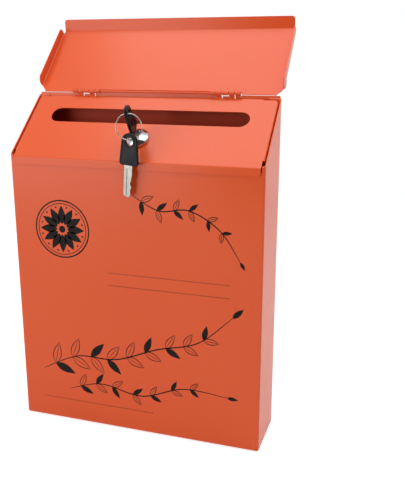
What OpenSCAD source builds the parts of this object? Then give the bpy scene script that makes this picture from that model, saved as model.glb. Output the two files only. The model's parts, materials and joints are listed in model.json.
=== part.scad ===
// Wall mailbox of folded steel sheet: a flat case with a sloping top, a locking
// door with the letter slot, and a rain lid that folds back over the wall side.
// Units are millimetres. X is to the right, the front faces -Y, Z is up, and
// the origin is the centre of the base.

/* [Case] */
// Width of the case across its sides
body_w = 240; // [200:1:300]
// Depth of the case from its front to the wall
body_d = 60; // [52:1:90]
// Height of the case at the front of its sloping top
front_h = 263; // [220:1:320]
// Height of the case at the wall
back_h = 316; // [306:1:326]
// Thickness of the steel sheet
sheet = 0.8; // [0.6:0.1:1]
// Inside radius of the folds
fold_r = 1; // [0.8:0.1:1.4]
// Depth of the flanges folded in along the wall edge of the sides
rear_flange = 11; // [8:0.5:18]
// Depth of the ledge folded in along the top of the front
ledge_d = 12; // [8:0.5:13]
// Height of the ledge's top below the front edge of the slope
ledge_drop = 3; // [2.6:0.1:5]
// Height of the flanges round the bottom
bottom_flange = 12; // [6:0.5:25]
// Height of the case walls above the surface below
wall_lift = 1.2; // [1:0.1:2.5]
// Diameter of the four holes for the wall screws
wall_hole_d = 5; // [4:0.5:8]
// Distance of the wall holes from the sides
wall_hole_side = 32; // [22:1:60]
// Distance of the wall holes from the bottom and the top of the back
wall_hole_end = 38; // [25:1:80]

/* [Door] */
// Gap between the door and each side of the case
door_gap = 1.2; // [0.8:0.1:2]
// Gap between the door's front lip and the front of the case
lip_gap = 0.4; // [0.3:0.1:1]
// Height of the front lip's lower edge below the front edge of the slope
lip_drop = 8; // [6:0.5:14]
// Depth of the door's side flanges
door_flange = 10; // [6:0.5:16]
// Gap between the door's rear edge and the back
door_rear_gap = 1; // [0.6:0.1:2]
// Width of the step cut out of each rear corner of the door
corner_w = 14; // [8:0.5:20]
// Depth of the step cut out of each rear corner of the door
corner_cut = 1.2; // [0.8:0.1:3]
// Length of the cut-away at each front corner of the door
notch_len = 6.5; // [4:0.5:10]
// Length of the letter slot
slot_len = 193; // [150:1:200]
// Width of the letter slot
slot_w = 17.6; // [12:0.2:20]
// Distance of the slot's centre line up the slope from the front edge
slot_up = 52; // [50:0.5:60]

/* [Hinge] */
// Diameter of the hinge pins
pin_d = 2; // [1.6:0.1:2.2]
// Running gap between a pin and the curls round it
pin_gap = 0.1; // [0.05:0.01:0.1]
// Height of the hinge pins above the back of the case
pin_lift = 2.6; // [2.4:0.1:4]
// Distance from each side of the case to the far end of its hinge
hinge_side = 65; // [40:1:80]
// Set-back of the back's curls from the wall
curl_set = 0.1; // [0:0.05:0.3]
// Width of the curls that belong to the back and the door
curl_w = 5; // [4:0.5:8]
// Width of the curl that belongs to the lid
lid_curl_w = 6; // [4:0.5:8]
// Gap between neighbouring curls
curl_gap = 0.5; // [0.4:0.1:0.8]

/* [Lid] */
// Length of the lid from its hinge to its front fold
lid_len = 81.5; // [81:0.5:95]
// Gap between the lid's side flanges and the case
lid_gap = 0.4; // [0.3:0.1:1]
// Height of the lid's underside above the pins when it is shut
lid_rise = 2.3; // [2.1:0.1:3]
// Length of the lid's front lip
lid_lip = 10.7; // [8:0.1:16]
// Depth of the side flanges at their front end
lid_side_front = 8; // [7:0.5:12]
// Depth of the side flanges at their rear end
lid_side_rear = 9.5; // [8:0.5:14]
// Depth of the flange folded along the lid's rear edge
lid_rear = 4.2; // [3:0.1:5]
// Corner cut at the lid's rear corners
lid_chamfer = 4; // [2:0.5:8]
// Angle that the lid has swung from shut to its stop
lid_open = 175; // [150:1:176]

/* [Lock] */
// Distance of the lock up the slope from the front edge
lock_up = 25; // [22:0.5:28]
// Diameter of the lock's round face
face_d = 21.5; // [20:0.5:24]
// Height of the lock's face above the door
face_h = 2.6; // [2:0.1:3]
// Diameter of the lock's threaded body
barrel_d = 18; // [16:0.5:19]
// Distance between the two flats on the threaded body
barrel_flats = 16; // [14.5:0.5:17]
// Length of the threaded body below the door's upper face
barrel_len = 18.5; // [17:0.5:20]
// Diameter of the turning plug
plug_d = 13; // [12:0.5:13.5]
// Size of the square tail on the plug
tail_sq = 7; // [6:0.5:8]
// Width of the nut across its flats
nut_af = 22; // [21:0.5:26]
// Thickness of the nut
nut_t = 3; // [2:0.5:5]
// Length of the cam from the lock's axis
cam_len = 24; // [21:0.5:27]
// Width of the cam
cam_w = 12; // [10:0.5:14]
// Thickness of the cam
cam_t = 1.5; // [1:0.1:2]
// Depth of the cam's raised end below the door's upper face
cam_depth = 12.4; // [11.8:0.1:13.5]
// Angle of the key from straight up the slope
key_turned = -9; // [-15:1:15]
// Angle that the key turns through to lock
lock_travel = 90; // [80:1:95]
// Number of wafers
wafer_n = 5; // [3:1:5]
// Distance between wafers
wafer_pitch = 3.2; // [2.6:0.1:3.2]
// Thickness of a wafer
wafer_t = 1; // [0.6:0.1:1.2]

/* [Keys] */
// Width of the key blade
blade_w = 7.8; // [7:0.1:8.4]
// Thickness of the key blade
blade_t = 2.1; // [1.8:0.1:2.3]
// Length of the blade that shows below the bow
blade_len = 27.6; // [26:0.2:28]
// Width of the plastic bow next to the blade
bow_w = 18.5; // [17:0.5:20]
// Width of the plastic bow round its hole
bow_top_w = 15.6; // [14.6:0.1:17]
// Height of the plastic bow
bow_h = 28; // [24:0.5:30]
// Thickness of the plastic bow
bow_t = 2.8; // [2.4:0.1:3]
// Diameter of the hole in the bow
bow_hole_d = 7.3; // [6.8:0.1:7.6]
// Distance of the hole's centre below the top of the bow
bow_hole_drop = 7.4; // [6.4:0.1:9]
// Middle radius of the key ring
ring_r = 11.2; // [10.4:0.1:12]
// Diameter of the ring's wire
ring_wire = 1.1; // [0.8:0.1:1.3]
// Direction of the ring's wire through the keys, turned from the X axis
ring_turn = 34; // [28:1:38]
// Angle between the hanging ring and the lock's axis
ring_off_axis = 54; // [50:1:56]

/* [Hidden] */
$fn = 64;

paint = [0.86, 0.33, 0.2];
plated = [0.78, 0.78, 0.76];
polished = [0.88, 0.88, 0.9];
nickel = [0.72, 0.7, 0.66];
black_plastic = [0.08, 0.08, 0.09];
brass = [0.74, 0.6, 0.34];

// Case
fold_out = fold_r + sheet;
half_w = body_w / 2;
front_y = -body_d / 2;
wall_y = body_d / 2;
slope = atan2(back_h - front_h, body_d);
case_top = max(front_h, back_h) + 10;
far = 3 * body_w;
ledge_top = front_h - ledge_drop;
ledge_half = half_w - 8;
corner_relief = half_w - 3;
panel_half = half_w - 1.4;
hinge_relief = fold_out + 1.4;
middle_rise = 1.75;
wing_rise = 1;
flange_stop = 2;
rear_inside = wall_y - 2 * sheet;

// Hinge
hinge_in = half_w - hinge_side;
curl_in = pin_d / 2 + pin_gap;
curl_out = curl_in + sheet;
hinge_y = wall_y - curl_set - curl_out;
hinge_z = back_h + pin_lift;
leaf_w = [curl_w, curl_w, lid_curl_w, curl_w, curl_w];
function leaf_x(i) = i == 0 ? hinge_in : leaf_x(i - 1) + leaf_w[i - 1] + curl_gap;
hinge_out = leaf_x(4) + leaf_w[4];
back_leaves = [0, 4];
door_leaves = [1, 3];
lid_leaves = [2];
tab_fold_r = 0.6;

// Places on the slope: u runs up the slope from its front edge, n stands off it
function near(size) = round(1000 * size) / 1000;
function up_slope(y, z) = near((y - front_y) * cos(slope) + (z - front_h) * sin(slope));
function off_slope(y, z) = near((z - front_h) * cos(slope) - (y - front_y) * sin(slope));
function y_on(u, n) = front_y + u * cos(slope) - n * sin(slope);
function z_on(u, n) = front_h + u * sin(slope) + n * cos(slope);
function u_at(y, n) = near((y - front_y + n * sin(slope)) / cos(slope));
hinge_u = up_slope(hinge_y, hinge_z);
hinge_n = off_slope(hinge_y, hinge_z);

// Door
door_half = half_w - sheet - door_gap;
door_plate_half = door_half - fold_out;
lip_y = front_y - lip_gap - sheet;
lip_fold_y = lip_y + fold_out;
lip_fold_z = front_h + (-fold_out + (lip_fold_y - front_y) * sin(slope)) / cos(slope);
lip_fold_u = up_slope(lip_fold_y, lip_fold_z);
lip_low = front_h - lip_drop;
lip_corner_r = 3;
lip_lap = 2;
door_rear_u = u_at(wall_y - sheet - door_rear_gap, -sheet);
door_tab_u = hinge_u - curl_out;
door_side_front = notch_len + 0.5;
door_side_y = rear_inside - 1.4;

// Lid, in the hinge's own frame: p runs away from the front, q stands off
lid_half = half_w + lid_gap + sheet;
lid_top = lid_rise + sheet;
lid_plate_half = lid_half - fold_out;
lid_fold_p = -lid_len + sheet;
lid_tab_r = tab_fold_r + sheet;
lid_rear_p = -curl_out - tab_fold_r;
lid_side_start = -lid_len + 3.5;
lid_side_end = -8;
lid_side_r = 6;

// Lock, along its own axis: w is the height above the door
bore_gap = 0.05;
face_r = face_d / 2;
barrel_r = barrel_d / 2;
plug_r = plug_d / 2;
plug_lip_r = plug_r + 1.5;
plug_lip_t = 1.1;
plug_lip_low = face_h - 0.1 - plug_lip_t;
stack_gap = 0.1;
lug_t = 1;
lug_in = plug_r + bore_gap + 0.3;
lug_out = barrel_flats / 2 - 0.1;
washer_t = 0.8;
washer_r = lug_in - 0.3;
washer_top = -barrel_len - stack_gap - 0.1;
cam_top = washer_top - washer_t - stack_gap;
tail_end = cam_top - cam_t + stack_gap;
spring_washer_t = 0.7;
spring_washer_top = cam_top - cam_t - 0.05;
screw_top = spring_washer_top - spring_washer_t - 0.05;
screw_d = 4;
screw_head_r = 3.6;
screw_head_h = 2.2;
screw_grip = 3.6;
cam_step = -cam_depth - cam_top;
cam_heel = 9;
tail_hole = tail_sq + 0.2;
cam_knee = 12.5;
cam_shoulder = 17;
stop_tab = 8;
stop_half = asin(stop_tab / 2 / lug_in) + 3;

// Keys
keyway_gap = 0.15;
blade_in = blade_len - 8.4;
blade_tip = face_h - blade_in;
keyway_low = blade_tip - 0.3;
tang = 14;
bow_low = blade_tip + blade_len;
bow_top = bow_low + bow_h;
hole_n = bow_top - bow_hole_drop;
first_wafer = -1.2;
cut_depths = [0.6, 1.5, 0.3, 1.2, 0.9];
wafer_slot = wafer_t + 0.2;
wafer_w = 5.4;
wafer_slot_w = 5.6;
groove_r = plug_r + 1.2;
wafer_reach = plug_r - 0.15;
spring_x = 3.9;
spring_r = 0.6;
spring_wire = 0.3;
spring_turns = 4;
spring_low = -4.6;
spring_room = 7;
arm_low = -0.4;
arm_t = 1.1;
function wafer_z(i) = first_wafer - i * wafer_pitch;

// Ring and spare key
key_wire = 0.3;
spare_wire = 1.4;
ring_lean = max(0, ring_off_axis - slope);
hole_y = y_on(lock_up, hole_n);
hole_z = z_on(lock_up, hole_n);
ring_drop = 2 * ring_r;
ring_top_z = hole_z + key_wire;
spare_hole_z = ring_top_z - ring_drop * cos(ring_lean) - spare_wire;
spare_hole_y = hole_y - ring_drop * sin(ring_lean) * cos(ring_turn);
spare_hole_x = ring_drop * sin(ring_lean) * sin(ring_turn);
spare_turn = -8;
spare_tilt = 4;
spare_reach = bow_h - bow_hole_drop + blade_len;
spare_clear = 3;
// The spare key hangs straight down in front of the door's edge, or lies over the door
spare_over_door = spare_hole_y > lip_y - bow_t;
spare_lean = spare_over_door
    ? max(0, acos((off_slope(spare_hole_y, spare_hole_z) - spare_clear) / spare_reach) - slope) : 0;

// Carries a profile drawn in Y and Z from x0 to x1
module along_x(x0, x1) {
    translate([x0, 0, 0]) rotate([90, 0, 90]) linear_extrude(x1 - x0) children();
}

// Both mirror images of what stands at +X
module both_sides() {
    children();
    mirror([1, 0, 0]) children();
}

// Frame of the slope: X across, Y up the slope, Z off it
module on_slope() {
    translate([0, front_y, front_h]) rotate([slope, 0, 0]) children();
}

// Frame of the lock: Z along its axis, from the door's upper face
module at_lock() {
    on_slope() translate([0, lock_up, 0]) children();
}

// Frame of the parts that turn with the key
module at_core() {
    at_lock() rotate([0, 0, -key_turned]) children();
}

// Part of a disc between two angles
module wedge(r, from, to) {
    steps = ceil((to - from) / 30);
    polygon(concat([[0, 0]],
        [for (i = [0:steps]) let (a = from + (to - from) * i / steps) r * [cos(a), sin(a)]]));
}

// Section of folded sheet: a ring sector
module fold(r_in, from, to, t = sheet) {
    intersection() {
        difference() {
            circle(r_in + t);
            circle(r_in);
        }
        wedge(2 * (r_in + t), from, to);
    }
}

// Rectangle from x0 to x1 and y0 to y1 with all corners rounded
module round_rect(x0, x1, y0, y1, r) {
    translate([x0 + r, y0]) square([x1 - x0 - 2 * r, y1 - y0]);
    translate([x0, y0 + r]) square([x1 - x0, y1 - y0 - 2 * r]);
    for (x = [x0 + r, x1 - r], y = [y0 + r, y1 - r]) translate([x, y]) circle(r);
}

// Section of a plate whose front edge is folded down, upright when the plate lies on the slope
function bend_points(r, from, to) =
    [for (i = [0:4]) let (a = from + (to - from) * i / 4) [r * cos(a), r * sin(a) - fold_out]];

module lip_section(run, lip) {
    last = 180 - slope;
    down = lip * [-sin(last), cos(last)];
    outer = bend_points(fold_out, 90, last);
    inner = bend_points(fold_r, last, 90);
    polygon(concat([[run, 0]], outer, [outer[4] + down, inner[0] + down], inner, [[run, -sheet]]));
}

// Front edge folded down to a lip with rounded lower corners
module front_lip(half, run, lip) {
    difference() {
        along_x(-half, half) lip_section(run, lip);
        both_sides() translate([0, 0, -fold_out]) rotate([-slope, 0, 0]) rotate([90, 0, 0])
            linear_extrude(6 * fold_out, center = true)
                translate([half - lip_corner_r, lip_corner_r - lip]) difference() {
                    translate([0, -2 * lip_corner_r]) square(2 * lip_corner_r);
                    circle(lip_corner_r);
                }
    }
}

// Plan of the front, the sides and the flanges along the wall
module wrap_plan() {
    difference() {
        round_rect(-half_w, half_w, front_y, wall_y - sheet, fold_out);
        round_rect(-half_w + sheet, half_w - sheet, front_y + sheet, rear_inside, fold_r);
        translate([-half_w + rear_flange, 0]) square([body_w - 2 * rear_flange, body_d]);
    }
}

module front_and_sides() {
    color(paint) union() {
        difference() {
            translate([0, 0, wall_lift]) linear_extrude(case_top) wrap_plan();
            on_slope() translate([-far / 2, -far / 2, 0]) cube([far, far, far]);
            translate([-corner_relief, front_y - 1, ledge_top - fold_out])
                cube([2 * corner_relief, fold_out + 1, 4 * fold_out]);
        }
        along_x(-ledge_half, ledge_half) {
            translate([front_y + fold_out, ledge_top - fold_out]) fold(fold_r, 90, 180);
            translate([front_y + fold_out, ledge_top - sheet]) square([ledge_d - fold_out, sheet]);
        }
    }
}

module back_panel() {
    color(paint) union() {
        difference() {
            translate([-panel_half, wall_y - sheet, wall_lift])
                cube([2 * panel_half, sheet, back_h + middle_rise - wall_lift]);
            both_sides() {
                translate([hinge_in, rear_inside, back_h])
                    cube([hinge_out + curl_gap - hinge_in, 3 * sheet, 2 * middle_rise]);
                translate([hinge_in, rear_inside, back_h + wing_rise])
                    cube([half_w, 3 * sheet, 2 * middle_rise]);
                for (i = door_leaves) translate([leaf_x(i) - curl_gap, rear_inside, back_h - hinge_relief])
                    cube([leaf_w[i] + 2 * curl_gap, 3 * sheet, 2 * hinge_relief]);
            }
            for (x = [-half_w + wall_hole_side, half_w - wall_hole_side],
                 z = [wall_hole_end, back_h - wall_hole_end])
                translate([x, wall_y + 1, z]) rotate([90, 0, 0]) cylinder(d = wall_hole_d, h = sheet + 2);
        }
        both_sides() for (i = back_leaves) along_x(leaf_x(i), leaf_x(i) + leaf_w[i]) {
            translate([wall_y - curl_set - sheet, back_h - 1]) square([sheet, pin_lift + 1]);
            translate([hinge_y, hinge_z]) fold(curl_in, 0, 250);
        }
    }
}

module bottom_pan() {
    side = half_w - sheet;
    front = front_y + sheet;
    rear = wall_y - sheet;
    front_run = side - fold_out - flange_stop;
    rear_run = half_w - rear_flange - flange_stop;
    side_run = [front + fold_out + flange_stop, rear_inside - fold_out - flange_stop];
    color(paint) union() {
        translate([-side + fold_out, front + fold_out, 0])
            cube([2 * (side - fold_out), rear - front - 2 * fold_out, sheet]);
        along_x(-front_run, front_run) {
            translate([front + fold_out, fold_out]) fold(fold_r, 180, 270);
            translate([front, fold_out]) square([sheet, bottom_flange - fold_out]);
        }
        along_x(-rear_run, rear_run) {
            translate([rear - fold_out, fold_out]) fold(fold_r, 270, 360);
            translate([rear - sheet, fold_out]) square([sheet, bottom_flange - fold_out]);
        }
        both_sides() translate([0, side_run[1], 0]) rotate([90, 0, 0])
            linear_extrude(side_run[1] - side_run[0]) {
                translate([side - fold_out, fold_out]) fold(fold_r, 270, 360);
                translate([side - sheet, fold_out]) square([sheet, bottom_flange - fold_out]);
            }
    }
}

module hinge_pin() {
    over = 0.3;
    length = hinge_out - hinge_in + 2 * over;
    bevel = 0.25;
    translate([hinge_in - over, hinge_y, hinge_z]) rotate([0, 90, 0]) rotate_extrude()
        polygon([[0, 0], [pin_d / 2 - bevel, 0], [pin_d / 2, bevel], [pin_d / 2, length - bevel],
                 [pin_d / 2 - bevel, length], [0, length]]);
}

module hinge_pin_left() {
    color(plated) mirror([1, 0, 0]) hinge_pin();
}

module hinge_pin_right() {
    color(plated) hinge_pin();
}

// Outline of the door's flat part in X and u
module door_outline() {
    difference() {
        translate([-door_plate_half, lip_fold_u])
            square([2 * door_plate_half, door_rear_u - lip_fold_u]);
        both_sides() translate([door_plate_half + 2 - corner_w, door_rear_u - corner_cut])
            square([corner_w, 2 * corner_cut]);
        translate([0, slot_up]) {
            square([slot_len - slot_w, slot_w], center = true);
            for (s = [-1, 1]) translate([s * (slot_len - slot_w) / 2, 0]) circle(d = slot_w);
        }
        translate([0, lock_up]) intersection() {
            circle(d = barrel_d + 0.4);
            square([barrel_flats + 0.4, barrel_d + 1], center = true);
        }
    }
}

module slot_door() {
    side_rear = u_at(door_side_y, -fold_out);
    side_low = -door_flange;
    color(paint) union() {
        on_slope() {
            translate([0, 0, -sheet]) linear_extrude(sheet) door_outline();
            both_sides() {
                translate([0, side_rear, 0]) rotate([90, 0, 0])
                    linear_extrude(side_rear - door_side_front)
                        translate([door_plate_half, -fold_out]) fold(fold_r, 0, 90);
                along_x(door_half - sheet, door_half) polygon([
                    [door_side_front, -fold_out], [side_rear, -fold_out],
                    [u_at(door_side_y, side_low), side_low], [door_side_front + 4, side_low],
                    [door_side_front, side_low + 4]]);
            }
            both_sides() for (i = door_leaves) along_x(leaf_x(i), leaf_x(i) + leaf_w[i]) {
                translate([door_rear_u - 1, -sheet])
                    square([door_tab_u - tab_fold_r - door_rear_u + 1, sheet]);
                translate([door_tab_u - tab_fold_r, tab_fold_r]) fold(tab_fold_r, 270, 360);
                translate([door_tab_u, tab_fold_r]) square([sheet, hinge_n - tab_fold_r]);
                translate([hinge_u, hinge_n]) fold(curl_in, -70, 180);
            }
            translate([0, lip_fold_u, 0]) front_lip(door_plate_half, lip_lap, lip_fold_z - lip_low);
        }
    }
}

// Side flange of the lid in p and q
module lid_side_outline() {
    low_front = lid_top - lid_side_front;
    low_rear = lid_top - lid_side_rear;
    turn_p = lid_side_end - lid_side_r;
    turn_q = low_rear + lid_side_r;
    fold_q = lid_top - fold_out;
    polygon([[lid_side_start, fold_q], [lid_side_start, low_front + 2], [lid_side_start + 2, low_front],
             [turn_p, low_rear], [turn_p, turn_q], [lid_side_end, turn_q], [lid_side_end, fold_q]]);
    translate([turn_p, turn_q]) circle(lid_side_r);
}

// Outline of the lid's flat part in X and p
module lid_outline() {
    edge = lid_plate_half;
    polygon([[-edge, lid_fold_p], [edge, lid_fold_p], [edge, lid_rear_p - lid_chamfer],
             [edge - lid_chamfer, lid_rear_p], [-edge + lid_chamfer, lid_rear_p],
             [-edge, lid_rear_p - lid_chamfer]]);
}

module rain_lid() {
    wing = lid_plate_half - lid_chamfer;
    color(paint) translate([0, hinge_y, hinge_z]) rotate([slope - lid_open, 0, 0]) union() {
        translate([0, 0, lid_rise]) linear_extrude(sheet) lid_outline();
        both_sides() {
            translate([0, lid_side_end, 0]) rotate([90, 0, 0])
                linear_extrude(lid_side_end - lid_side_start)
                    translate([lid_plate_half, lid_top - fold_out]) fold(fold_r, 0, 90);
            along_x(lid_half - sheet, lid_half) lid_side_outline();
            translate([hinge_out + curl_gap, lid_rear_p, lid_rise])
                cube([wing - hinge_out - curl_gap, -curl_in - lid_rear_p, sheet]);
            for (i = lid_leaves) along_x(leaf_x(i), leaf_x(i) + leaf_w[i]) {
                translate([lid_rear_p, lid_top - lid_tab_r]) fold(tab_fold_r, 0, 90);
                translate([-curl_out, 0]) square([sheet, lid_top - lid_tab_r]);
                fold(curl_in, 180, 400);
            }
        }
        along_x(-hinge_in + curl_gap, hinge_in - curl_gap) {
            translate([lid_rear_p, lid_top - lid_tab_r]) fold(tab_fold_r, 0, 90);
            translate([-curl_out, lid_top - lid_rear]) square([sheet, lid_rear - lid_tab_r]);
        }
        translate([0, lid_fold_p, lid_top]) front_lip(lid_plate_half, lip_lap, lid_lip);
    }
}

// Half section of the housing, turned round the lock's axis
module housing_section() {
    bevel = 0.7;
    polygon([[plug_r + bore_gap, -barrel_len], [barrel_r, -barrel_len], [barrel_r, 0], [face_r, 0],
             [face_r, face_h - bevel], [face_r - bevel, face_h], [plug_lip_r + bore_gap, face_h],
             [plug_lip_r + bore_gap, plug_lip_low - bore_gap],
             [plug_r + bore_gap, plug_lip_low - bore_gap]]);
}

module lock_housing() {
    groove_low = wafer_z(wafer_n - 1) - wafer_t;
    color(polished) at_lock() difference() {
        union() {
            rotate_extrude() housing_section();
            // Lug that the stop washer meets at both ends of the key's turn
            translate([0, 0, -barrel_len - lug_t]) linear_extrude(lug_t) intersection() {
                difference() {
                    circle(lug_out);
                    circle(lug_in);
                }
                wedge(2 * lug_out, lock_travel - key_turned + stop_half - 180,
                      180 - key_turned - stop_half);
            }
        }
        both_sides() translate([barrel_flats / 2, -barrel_r, -barrel_len - 1])
            cube([barrel_r, 2 * barrel_r, barrel_len + 1]);
        rotate([0, 0, -key_turned]) translate([-wafer_slot_w / 2, -groove_r, groove_low])
            cube([wafer_slot_w, 2 * groove_r, first_wafer + wafer_t - groove_low]);
    }
}

module lock_nut() {
    color(plated) at_lock() translate([0, 0, -sheet - nut_t]) difference() {
        intersection() {
            cylinder(r = nut_af / sqrt(3), h = nut_t, $fn = 6);
            cylinder(r = nut_af / 2 + 1, h = nut_t);
        }
        translate([0, 0, -1]) cylinder(r = barrel_r + 0.1, h = nut_t + 2);
    }
}

module lock_plug() {
    spring_pocket = spring_r + spring_wire + 0.15;
    color(polished) at_core() difference() {
        union() {
            translate([0, 0, -barrel_len - stack_gap / 2])
                cylinder(r = plug_r, h = barrel_len + face_h - 0.2);
            translate([0, 0, plug_lip_low]) cylinder(r = plug_lip_r, h = plug_lip_t);
            translate([-tail_sq / 2, -tail_sq / 2, tail_end])
                cube([tail_sq, tail_sq, -tail_end - barrel_len + 1]);
        }
        translate([-blade_t / 2 - keyway_gap, -blade_w / 2 - keyway_gap, keyway_low])
            cube([blade_t + 2 * keyway_gap, blade_w + 2 * keyway_gap, far]);
        for (i = [0:wafer_n - 1]) translate([0, 0, wafer_z(i) - wafer_slot / 2]) {
            translate([-wafer_slot_w / 2, -far / 2, 0]) cube([wafer_slot_w, far, wafer_slot]);
            translate([0, spring_low, 0]) cube([spring_x + spring_pocket, spring_room, wafer_slot]);
        }
        for (i = [0:wafer_n - 1]) translate([spring_x, spring_low, wafer_z(i)])
            rotate([-90, 0, 0]) cylinder(r = spring_pocket, h = spring_room);
        translate([0, 0, tail_end - 1]) cylinder(d = screw_d + 0.1, h = screw_grip + 1.2);
    }
}

// One wafer: a plate with a window for the blade and an arm for its spring
module wafer(cut) {
    top = blade_w / 2 - cut + 0.08;
    low = -blade_w / 2 - 0.3;
    window = blade_t / 2 + 0.2;
    difference() {
        union() {
            intersection() {
                square([wafer_w, far], center = true);
                circle(wafer_reach);
            }
            translate([0, arm_low]) square([spring_x + spring_r, arm_t]);
        }
        translate([-window, low]) square([2 * window, top - low]);
    }
}

module lock_wafers() {
    color(brass) at_core() for (i = [0:wafer_n - 1])
        translate([0, 0, wafer_z(i) - wafer_t / 2]) linear_extrude(wafer_t) wafer(cut_depths[i]);
}

// Closed tube of few sides along a list of points
function tube_ring(p, dir, r, sides) =
    let (side = cross(dir, [0, 1, 0]), s = side / norm(side), t = cross(s, dir))
    [for (k = [0:sides - 1]) p + r * (cos(360 * k / sides) * s + sin(360 * k / sides) * t)];

module tube(path, r, sides) {
    last = len(path) - 1;
    rings = [for (i = [0:last])
        let (d = path[min(i + 1, last)] - path[max(i - 1, 0)]) tube_ring(path[i], d / norm(d), r, sides)];
    polyhedron(
        points = [for (ring = rings) for (p = ring) p],
        faces = concat(
            [[for (k = [sides - 1:-1:0]) k]],
            [for (i = [0:last - 1]) for (k = [0:sides - 1])
                let (a = i * sides + k, b = i * sides + (k + 1) % sides)
                each [[a, b + sides, a + sides], [a, b, b + sides]]],
            [[for (k = [0:sides - 1]) last * sides + k]]));
}

module wafer_springs() {
    per_turn = 7;
    from = spring_low + 0.2;
    to = arm_low - spring_wire;
    steps = spring_turns * per_turn;
    coil = [for (k = [0:steps]) let (a = 360 * k / per_turn)
        [spring_r * cos(a), from + (to - from) * k / steps, spring_r * sin(a)]];
    color(plated) at_core() for (i = [0:wafer_n - 1])
        translate([spring_x, 0, wafer_z(i)]) tube(coil, spring_wire / 2, 4);
}

module stop_washer() {
    color(plated) at_core() translate([0, 0, washer_top - washer_t]) linear_extrude(washer_t)
        difference() {
            union() {
                circle(washer_r);
                translate([-lug_out, -stop_tab / 2]) square([lug_out, stop_tab]);
            }
            square(tail_hole, center = true);
        }
}

// Side view of the cam: a strip of steel cranked towards the door
module cam_side() {
    bend = cam_t / 2;
    polygon([[-cam_heel, 0], [cam_knee, 0], [cam_shoulder, cam_step], [cam_len, cam_step],
             [cam_len, cam_step - cam_t], [cam_shoulder + bend, cam_step - cam_t],
             [cam_knee + bend, -cam_t], [-cam_heel, -cam_t]]);
}

module lock_cam() {
    color(plated) at_core() translate([0, 0, cam_top]) difference() {
        intersection() {
            translate([0, cam_w / 2, 0]) rotate([90, 0, 0]) mirror([1, 0, 0])
                linear_extrude(cam_w) cam_side();
            translate([0, 0, -far / 2]) linear_extrude(far)
                round_rect(-cam_len, cam_heel, -cam_w / 2, cam_w / 2, 3);
        }
        translate([0, 0, -cam_t / 2]) cube([tail_hole, tail_hole, far / 2], center = true);
    }
}

module spring_washer() {
    color(plated) at_core() translate([0, 0, spring_washer_top - spring_washer_t])
        linear_extrude(spring_washer_t) difference() {
            circle(screw_head_r + 0.4);
            circle(d = screw_d + 0.2);
            rotate(30) translate([0, -0.3]) square([far, 0.6]);
        }
}

module cam_screw() {
    recess = [4.8, 0.6, 2.2];
    color(plated) at_core() difference() {
        union() {
            translate([0, 0, screw_top - screw_head_h]) cylinder(r = screw_head_r, h = screw_head_h);
            translate([0, 0, screw_top - 1]) cylinder(d = screw_d, h = tail_end + screw_grip - screw_top + 1);
        }
        for (a = [0, 90]) rotate(a) translate([0, 0, screw_top - screw_head_h]) cube(recess, center = true);
    }
}

// Outline of a blade: v across it, s from its tip; cuts for the wafers on +v
module blade_outline() {
    half = blade_w / 2;
    seats = [for (i = [wafer_n - 1:-1:0]) [wafer_z(i) - blade_tip, cut_depths[i]]];
    land = 0.7;
    cuts = [for (seat = seats) each [[half - seat[1], seat[0] - land], [half - seat[1], seat[0] + land]]];
    polygon(concat([[-half + 2.4, 0], [half - 2.6, 0]], cuts,
        [[half, face_h - blade_tip + 0.6], [half, blade_len + tang], [-half, blade_len + tang], [-half, 2]]));
}

// A blade standing on its tip in the X and Z plane, flat to Y
module blade() {
    groove = 0.5;
    groove_w = 1.4;
    difference() {
        translate([0, blade_t / 2, 0]) rotate([90, 0, 0]) linear_extrude(blade_t) blade_outline();
        for (s = [-1, 1]) translate([s * 0.9 - groove_w / 2 - 0.2 * s, s * blade_t / 2 - groove, -1])
            cube([groove_w, 2 * groove, blade_len - 1.5]);
    }
}

// Outline of a bow, from its lower edge up: a round end with the hole, and sides that spread
module bow_outline(inset = 0) {
    top_r = bow_top_w / 2;
    low_r = 3;
    low_x = bow_w / 2 - low_r;
    top_z = bow_h - top_r;
    run = [-low_x, top_z - low_r];
    side = atan2(run[1], run[0]) - acos((low_r - top_r) / norm(run));
    out = [cos(side), sin(side)];
    low = [low_x, low_r] + (low_r - inset) * out;
    top = [0, top_z] + (top_r - inset) * out;
    polygon([[low_x, inset], low, top, [-top[0], top[1]], [-low[0], low[1]], [-low_x, inset]]);
    translate([0, top_z]) circle(top_r - inset);
    for (s = [-1, 1]) translate([s * low_x, low_r]) circle(low_r - inset);
}

// A bow standing in the X and Z plane: thick middle, thinner rim round the hole and the edge
module bow() {
    step = 0.35;
    difference() {
        union() {
            translate([0, bow_t / 2 - step, 0]) rotate([90, 0, 0]) linear_extrude(bow_t - 2 * step) bow_outline();
            translate([0, bow_t / 2, 0]) rotate([90, 0, 0]) linear_extrude(bow_t) bow_outline(0.6);
        }
        translate([0, far / 2, bow_h - bow_hole_drop]) rotate([90, 0, 0]) cylinder(d = bow_hole_d, h = far);
        translate([-blade_w / 2, -blade_t / 2, -1]) cube([blade_w, blade_t, tang + 1]);
    }
}

// The inserted key's flat side lies in the slope's u direction
module at_key() {
    at_core() translate([0, 0, blade_tip]) rotate([0, 0, 90]) children();
}

module key_blade() {
    color(nickel) at_key() blade();
}

module key_bow() {
    color(black_plastic) at_key() translate([0, 0, blade_len]) bow();
}

module key_ring() {
    opening = 4;
    color(plated) translate([0, hole_y, ring_top_z]) rotate([0, 0, ring_turn])
        rotate([-ring_lean, 0, 0]) translate([0, 0, -ring_r]) rotate([90, 0, 0])
            rotate([0, 0, 200]) rotate_extrude(angle = 360 - opening, $fn = 72)
                translate([ring_r, 0]) circle(d = ring_wire, $fn = 24);
}

// The spare key hangs tip down from the bottom of the ring
module at_spare() {
    translate([spare_hole_x, spare_hole_y, spare_hole_z]) rotate([-spare_lean, spare_tilt, spare_turn])
        translate([0, 0, -spare_reach]) children();
}

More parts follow.
